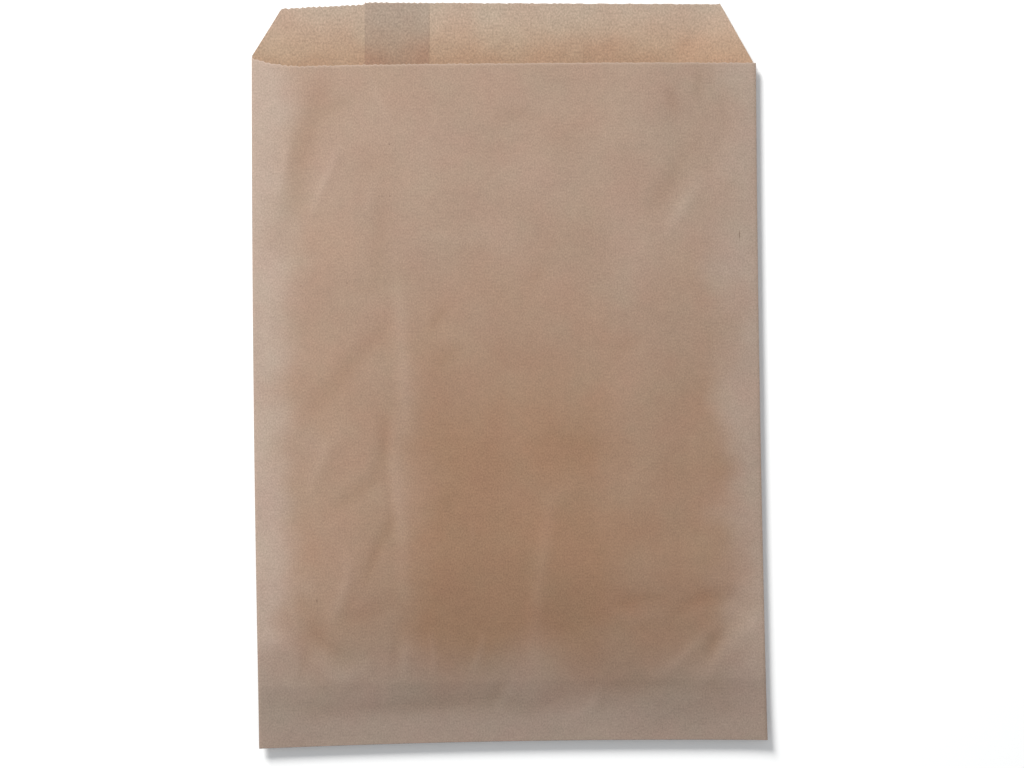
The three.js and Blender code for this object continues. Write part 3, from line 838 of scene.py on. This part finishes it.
def outside_material(look, groups, sheet):
    """The glazed outside: darker and warmer with painted shade where the front touches the ply behind it,
    and paler and greyer with a painted sheen where it stands free.
    """
    material, tree, shader, flat, moved, fibres = new_kraft(
        "kraft_outside", groups, OUTSIDE_GRAIN, (0, 0, 0), look.roughness
    )
    loose_and_sheen = add_node(tree, "ShaderNodeAttribute", attribute_name="loose_and_sheen").outputs["Fac"]
    # Painted highlight and shade along the creases
    crease_shade = add_node(tree, "ShaderNodeAttribute", attribute_name="crease_shade").outputs["Fac"]
    loose_and_sheen = math_node(tree, "ADD", loose_and_sheen, math_node(tree, "MULTIPLY", crease_shade, CREASE_SHADE_PULL))
    stray = math_node(tree, "MULTIPLY", fibres.outputs["Hue"], HUE_PULL)
    loose_and_sheen = math_node(tree, "ADD", loose_and_sheen, stray, clamp=True)
    # Mixes the colour with painted shade and the colour with painted sheen
    base = mix_colour(tree, loose_and_sheen, look.pressed_painted_shade, look.standing_painted_sheen)
    base = mix_colour(tree, 1.0, base, math_node(tree, "ADD", crease_shade, 1.0), "MULTIPLY")

    place = add_node(tree, "ShaderNodeSeparateXYZ", {"Vector": flat})
    flap = group_node(
        tree, groups["band"], place=place.outputs["Y"], low=BOTTOM - sheet.sizes.flap_length,
        high=BOTTOM + sheet.sizes.flap_length, softness=FLAP_SOFTNESS,
    )
    flap_tone = ramp_node(tree, flap.outputs["Mask"], 0, 1, 1.0, look.flap_tone, False)
    # Painted shade over the bend at the bottom
    bend_shade = ramp_node(tree, place.outputs["Y"], BOTTOM + BEND_START, BOTTOM + BEND_END, look.painted_bend_shade, 1.0)
    base = mix_colour(tree, 1.0, base, math_node(tree, "MULTIPLY", flap_tone, bend_shade), "MULTIPLY")
    base = toned(tree, base, fibres, OUTSIDE_CONTRAST * look.mottle)

    dark = group_node(tree, groups["flecks"], vector=moved).outputs["Mask"]
    for middle, half_width, half_length in SPECKS:
        speck = group_node(
            tree, groups["speck"], vector=flat, middle=(middle[0] * MM, middle[1] * MM, 0),
            half_size=(half_width * MM, half_length * MM, 1),
        )
        dark = math_node(tree, "MAXIMUM", dark, speck.outputs["Mask"])
    base = mix_colour(tree, math_node(tree, "MULTIPLY", dark, FLECK_STRENGTH), base, look.fleck)
    # Open fibres, and a painted highlight along the front's cut
    base = torn_edge_and_highlight(tree, base, look.torn, TORN_OUTSIDE)
    tree.links.new(base, shader.inputs["Base Color"])
    return material


def inside_material(look, groups, sheet):
    """The rough inside: mottled, paler high up on the lip, and darker where the seam doubles it."""
    material, tree, shader, flat, _, fibres = new_kraft(
        "kraft_inside", groups, INSIDE_GRAIN, INSIDE_SHIFT, look.roughness + INSIDE_ROUGHER
    )
    place = add_node(tree, "ShaderNodeSeparateXYZ", {"Vector": flat})
    high = ramp_node(tree, place.outputs["Y"], sheet.mouth, TOP)
    stray = math_node(tree, "MULTIPLY", fibres.outputs["Hue"], INSIDE_HUE_PULL)
    high = math_node(tree, "ADD", high, stray, clamp=True)
    base = mix_colour(tree, high, look.inside_low, look.inside_high)
    seam = group_node(
        tree, groups["band"], place=place.outputs["X"], low=sheet.seam_outer, high=sheet.seam_inner,
        softness=SEAM_SOFTNESS,
    )
    doubled = mix_colour(tree, high, look.seam_low, look.seam_high)
    doubled = mix_colour(tree, seam.outputs["Mask"], (1, 1, 1), doubled)
    base = mix_colour(tree, 1.0, base, doubled, "MULTIPLY")
    base = toned(tree, base, fibres, INSIDE_CONTRAST * look.mottle)
    base = torn_edge_and_highlight(tree, base, look.torn, TORN_INSIDE)
    tree.links.new(base, shader.inputs["Base Color"])
    return material


def cut_material(look, groups):
    """The paper's cut edge."""
    material, tree, shader, _, _, fibres = new_kraft(
        "kraft_cut", groups, CUT_GRAIN, CUT_SHIFT, look.roughness + CUT_ROUGHER
    )
    base = toned(tree, look.torn, fibres, OUTSIDE_CONTRAST * look.mottle)
    tree.links.new(base, shader.inputs["Base Color"])
    return material


def tooth_tree(outside):
    """Geometry nodes that cut the teeth: points of a cut edge move back in a zigzag as it runs along."""
    tree, given, out = new_tree(
        "Toothed Cuts",
        "GeometryNodeTree",
        [
            ("Sheet", "NodeSocketGeometry", None),
            ("Tooth Pitch", "NodeSocketFloat", 0.0026),
            ("Tooth Depth", "NodeSocketFloat", 0.0006),
            ("Ragged", "NodeSocketFloat", 0.0001),
            ("Seed", "NodeSocketInt", 7),
        ],
        [("Sheet", "NodeSocketGeometry")],
    )
    cut, run = (
        add_node(
            tree, "GeometryNodeInputNamedAttribute", {"Name": name}, data_type="FLOAT"
        ).outputs["Attribute"]
        for name in ("cut", "run")
    )
    half_pitch = math_node(tree, "MULTIPLY", given.outputs["Tooth Pitch"], 0.5)
    zigzag = math_node(tree, "DIVIDE", math_node(tree, "PINGPONG", run, half_pitch), half_pitch)
    ragged = given.outputs["Ragged"]
    stray = add_node(
        tree, "FunctionNodeRandomValue",
        {2: math_node(tree, "MULTIPLY", ragged, -1.0), 3: ragged, "Seed": given.outputs["Seed"]},
        data_type="FLOAT",
    )
    back = math_node(tree, "MULTIPLY_ADD", zigzag, given.outputs["Tooth Depth"])
    tree.links.new(stray.outputs[1], back.node.inputs[2])
    inward = math_node(tree, "MULTIPLY", math_node(tree, "MULTIPLY", back, cut), -1.0)
    offset = add_node(tree, "ShaderNodeCombineXYZ", {"Y": inward}).outputs["Vector"]
    moved = add_node(tree, "GeometryNodeSetPosition", {"Geometry": given.outputs["Sheet"], "Offset": offset})
    real = add_node(tree, "GeometryNodeRealizeInstances", {"Geometry": moved.outputs["Geometry"]})
    made = add_node(
        tree, "GeometryNodeSetMaterial", {"Geometry": real.outputs["Geometry"], "Material": outside}
    )
    tree.links.new(made.outputs["Geometry"], out.inputs["Sheet"])
    return tree


def set_tree_input(modifier, label, value):
    for item in modifier.node_group.interface.items_tree:
        if item.item_type == "SOCKET" and item.in_out == "INPUT" and item.name == label:
            modifier[item.identifier] = value
            return
    raise KeyError(label)


def sheet_object(sheet, gathered):
    """The open sheet as a Blender object, with its flat places as a UV map and its looks as attributes."""
    data = bpy.data.meshes.new("open_sheet")
    places = [(*map(float, sheet.bowed(px, py)), float(pz)) for px, py, pz in gathered.points]
    data.from_pydata(places, [], gathered.faces)
    keys = sorted(gathered.index, key=gathered.index.get)
    bm = bmesh.new()
    bm.from_mesh(data)
    bm.verts.ensure_lookup_table()
    cut, run, front, loose_and_sheen, crease_shade = (
        bm.verts.layers.float.new(name) for name in ("cut", "run", "front", "loose_and_sheen", "crease_shade")
    )
    uv = bm.loops.layers.uv.new("Sheet")
    for vert, key, flat, cut_value, look in zip(bm.verts, keys, gathered.flat, gathered.cut, gathered.look):
        vert[cut] = cut_value
        vert[run] = flat[0] + sheet.half_width
        vert[front] = 1.0 if key[0] == "front" else 0.0
        vert[loose_and_sheen], vert[crease_shade] = look
    for face in bm.faces:
        face.smooth = True
        for loop in face.loops:
            loop[uv].uv = gathered.flat[loop.vert.index]
    cut_chamfers(bm, sheet)
    bm.to_mesh(data)
    bm.free()
    obj = bpy.data.objects.new("open_sheet", data)
    bpy.context.scene.collection.objects.link(obj)
    return obj


class PAPERBAG_OT_fold_sheet(bpy.types.Operator):
    """Folds the sheet of kraft paper into the bag"""

    bl_idname = "paperbag.fold_sheet"
    bl_label = "Fold sheet"

    def execute(self, context):
        sizes = context.scene.bag_sizes
        pose = context.scene.bag_pose
        look = context.scene.kraft_look
        sheet, gathered = build_sheet(sizes, pose)
        groups = {
            "fibres": fibre_group(),
            "flecks": fleck_group(),
            "band": band_group(),
            "speck": speck_group(),
        }
        outside = outside_material(look, groups, sheet)

        source = sheet_object(sheet, gathered)
        for material in (outside, inside_material(look, groups, sheet), cut_material(look, groups)):
            source.data.materials.append(material)
        teeth = source.modifiers.new("Toothed cuts", "NODES")
        teeth.node_group = tooth_tree(outside)
        set_tree_input(teeth, "Tooth Pitch", sizes.tooth_pitch)
        set_tree_input(teeth, "Tooth Depth", sizes.tooth_depth)
        set_tree_input(teeth, "Ragged", sizes.ragged)
        set_tree_input(teeth, "Seed", pose.seed)
        wall = source.modifiers.new("Paper", "SOLIDIFY")
        wall.thickness = sizes.paper
        wall.offset = 0
        wall.material_offset = 1
        wall.material_offset_rim = 2

        evaluated = source.evaluated_get(context.evaluated_depsgraph_get())
        data = bpy.data.meshes.new_from_object(evaluated)
        data.name = "kraft_bag"
        data.set_sharp_from_angle(angle=SHARP_ANGLE)
        bpy.data.objects.remove(source)
        piece = bpy.data.objects.new("kraft_bag", data)
        context.scene.collection.objects.link(piece)
        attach(piece, BODY)
        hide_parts(BAG_NODE)
        return {"FINISHED"}


def add_area(name, location, target, size, power, tint):
    data = bpy.data.lights.new(name, "AREA")
    data.shape = "DISK"
    data.size = size
    data.energy = power
    data.color = tint
    lamp = bpy.data.objects.new(name, data)
    lamp.location = location
    lamp.rotation_euler = (Vector(target) - Vector(location)).to_track_quat("-Z", "Y").to_euler()
    bpy.context.scene.collection.objects.link(lamp)


TABLE_ROUGHNESS = 0.9
TABLE_HALF_WIDTH = 3.0
TABLE_DROP = 0.05 * MM
KEY_COLOUR = (1.0, 0.985, 0.96)
FILL_COLOUR = (0.97, 0.985, 1.0, 1.0)


def table_material(look):
    """A white table that stays white to the camera and keeps the bag's soft shadow."""
    material = bpy.data.materials.new("white_table")
    material.use_nodes = True
    tree = material.node_tree
    shader = tree.nodes["Principled BSDF"]
    shader.inputs["Base Color"].default_value = (*look.table, 1.0)
    shader.inputs["Roughness"].default_value = TABLE_ROUGHNESS
    shader.inputs["Specular IOR Level"].default_value = 0.0
    shader.inputs["Emission Color"].default_value = (1.0, 1.0, 1.0, 1.0)
    seen = add_node(tree, "ShaderNodeLightPath").outputs["Is Camera Ray"]
    tree.links.new(math_node(tree, "MULTIPLY", seen, look.table_glow), shader.inputs["Emission Strength"])
    return material


# The way to the large lamp, the camera's lens and sensor in millimetres, the nearest that it sees and its
# place in metres, and its turn in degrees
KEY_DIRECTION = (-0.55, 0.95, 0.68)
LENS = 85
SENSOR_WIDTH = 36
NEAREST_SEEN = 0.01
CAMERA_PLACE = (-0.03369, -0.03716, 1.1242)
CAMERA_TURN = (1.592, -1.79, -0.761)


class PAPERBAG_OT_set_stage(bpy.types.Operator):
    """Sets the white table, the lamps, the even light and the camera"""

    bl_idname = "paperbag.set_stage"
    bl_label = "Set stage"

    def execute(self, context):
        scene = context.scene
        look = scene.stage_look
        data = bpy.data.meshes.new("table")
        sides = ((-1, -1), (1, -1), (1, 1), (-1, 1))
        corners = [(x * TABLE_HALF_WIDTH, y * TABLE_HALF_WIDTH, -TABLE_DROP) for x, y in sides]
        data.from_pydata(corners, [], [(0, 1, 2, 3)])
        data.materials.append(table_material(look))
        table = bpy.data.objects.new("table", data)
        scene.collection.objects.link(table)

        place = Vector(KEY_DIRECTION).normalized() * look.key_distance
        add_area("key_lamp", place, (0, 0, 0), look.key_size, look.key_power, KEY_COLOUR)
        world = bpy.data.worlds.new("even_light")
        world.use_nodes = True
        backdrop = world.node_tree.nodes["Background"]
        backdrop.inputs["Color"].default_value = FILL_COLOUR
        backdrop.inputs["Strength"].default_value = look.fill_strength
        scene.world = world

        camera_data = bpy.data.cameras.new("camera")
        camera_data.lens = LENS
        camera_data.sensor_width = SENSOR_WIDTH
        camera_data.clip_start = NEAREST_SEEN
        camera = bpy.data.objects.new("camera", camera_data)
        camera.location = CAMERA_PLACE
        camera.rotation_euler = [math.radians(angle) for angle in CAMERA_TURN]
        scene.collection.objects.link(camera)
        scene.camera = camera
        scene.view_settings.view_transform = "Standard"
        return {"FINISHED"}


class PAPERBAG_PT_panel(bpy.types.Panel):
    """Sizes, pose, colours and steps of the paper bag"""

    bl_idname = "PAPERBAG_PT_panel"
    bl_label = "Paper bag"
    bl_space_type = "VIEW_3D"
    bl_region_type = "UI"
    bl_category = "Paper bag"

    def draw(self, context):
        for group in ("bag_sizes", "bag_pose", "kraft_look", "stage_look"):
            box = self.layout.box()
            box.label(text=group.replace("_", " ").capitalize())
            values = getattr(context.scene, group)
            for name in values.__annotations__:
                box.prop(values, name)
        self.layout.operator(PAPERBAG_OT_fold_sheet.bl_idname)
        self.layout.operator(PAPERBAG_OT_set_stage.bl_idname)


GROUPS = {"bag_sizes": BagSizes, "bag_pose": BagPose, "kraft_look": KraftLook, "stage_look": StageLook}
CLASSES = (*GROUPS.values(), PAPERBAG_OT_fold_sheet, PAPERBAG_OT_set_stage, PAPERBAG_PT_panel)


def register():
    for cls in CLASSES:
        bpy.utils.register_class(cls)
    for name, group in GROUPS.items():
        setattr(bpy.types.Scene, name, PointerProperty(type=group))


def unregister():
    for name in GROUPS:
        delattr(bpy.types.Scene, name)
    for cls in reversed(CLASSES):
        bpy.utils.unregister_class(cls)


def main():
    register()
    bpy.ops.paperbag.set_stage()
    bpy.ops.paperbag.fold_sheet()


if __name__ == "__main__":
    main()
